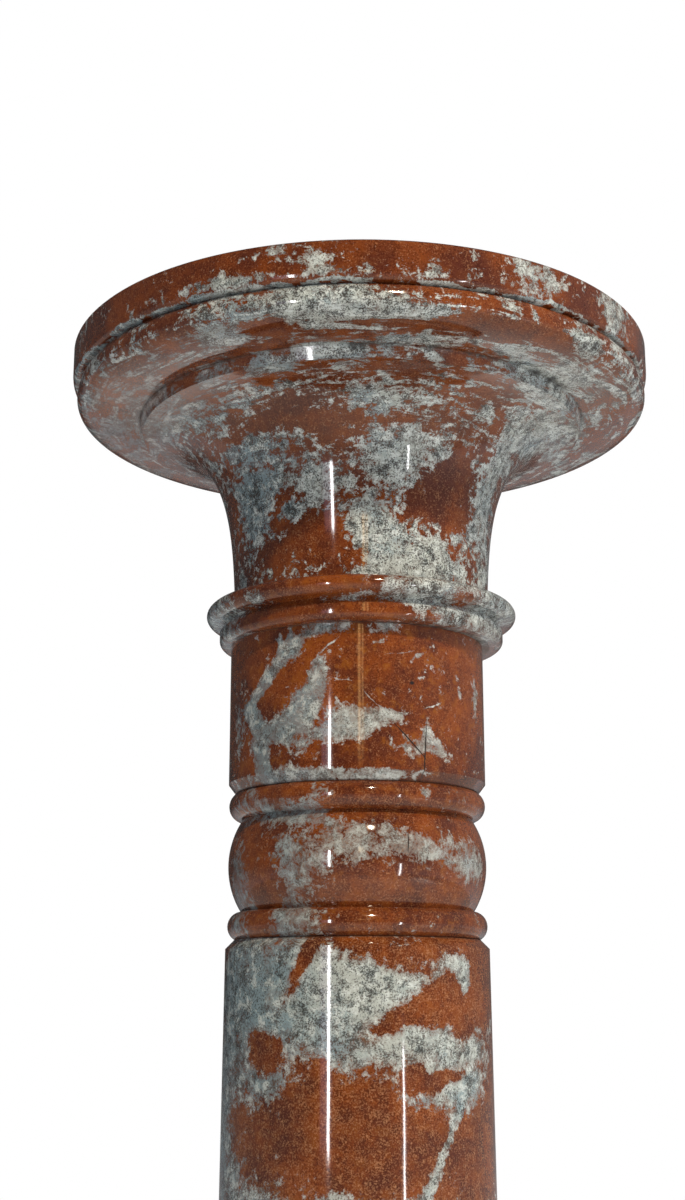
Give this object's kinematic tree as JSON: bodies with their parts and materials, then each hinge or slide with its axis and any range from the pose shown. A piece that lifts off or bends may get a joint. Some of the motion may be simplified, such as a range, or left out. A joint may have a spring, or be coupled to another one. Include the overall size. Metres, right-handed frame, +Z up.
{
  "type": "marble pedestal column",
  "caption": "Round polished marble pedestal column with a moulded flared capital, collar ring, beaded knop, slightly tapered shaft, moulded foot and round plinth, for a bust, vase or plant.",
  "frame": {"origin": "middle of the plinth's underside, on the shaft's axis", "axes": "+Z up along the shaft; +X to the right and -Y towards the camera of the picture"},
  "size_m": [0.33, 0.33, 1.08],
  "materials": {
    "plinth_marble": "polished red and grey marble",
    "foot_marble": "polished red and grey marble",
    "shaft_marble": "polished grey marble with red veins and clouds",
    "knop_marble": "polished red and grey marble",
    "drum_marble": "polished rust red marble with grey veins",
    "collar_marble": "polished red and grey marble",
    "capital_marble": "polished red and grey marble, streaked under the rim",
    "slab_marble": "polished red marble with grey patches"
  },
  "bodies": {
    "root": {"plinth": "plinth_marble", "foot": "foot_marble", "shaft": "shaft_marble", "knop": "knop_marble", "neck_drum": "drum_marble", "collar_ring": "collar_marble", "capital": "capital_marble", "top_slab": "slab_marble"}
  },
  "joints": []
}
